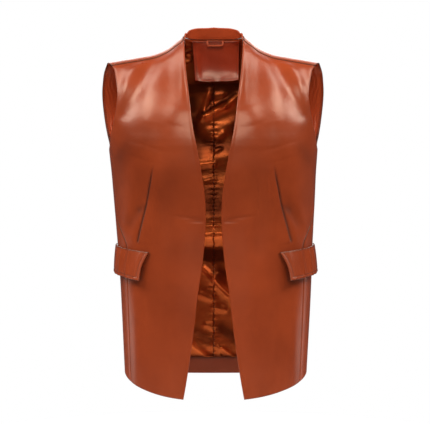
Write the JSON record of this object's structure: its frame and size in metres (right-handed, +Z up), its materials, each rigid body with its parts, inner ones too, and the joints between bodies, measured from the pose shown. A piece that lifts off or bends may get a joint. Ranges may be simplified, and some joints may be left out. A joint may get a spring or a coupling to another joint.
{
  "type": "long sleeveless leather waistcoat",
  "caption": "Long open-front sleeveless leather waistcoat with a stand-up back neck band, bust darts, slanting pocket flaps and a satin back lining.",
  "frame": {"origin": "on the centre plane between the inner ends of the shoulder ridges, where the wearer's shoulders hold the garment", "axes": "+X towards the wearer's left, the front faces -Y, +Z up"},
  "size_m": [0.456, 0.2672, 0.7483],
  "materials": {
    "leather": "smooth cognac leather with a soft gloss",
    "facing_leather": "the same leather, turned inside as facings",
    "satin_lining": "copper satin"
  },
  "bodies": {
    "root": {"front_left": "leather", "front_right": "leather", "back": "leather", "neck_band": "leather", "pocket_flap_left": "leather", "pocket_flap_right": "leather", "neck_patch": "facing_leather", "hanging_loop": "facing_leather", "armhole_facing_left": "facing_leather", "armhole_facing_right": "facing_leather", "hem_facing": "facing_leather", "lining_left": "satin_lining", "lining_right": "satin_lining"}
  },
  "joints": []
}
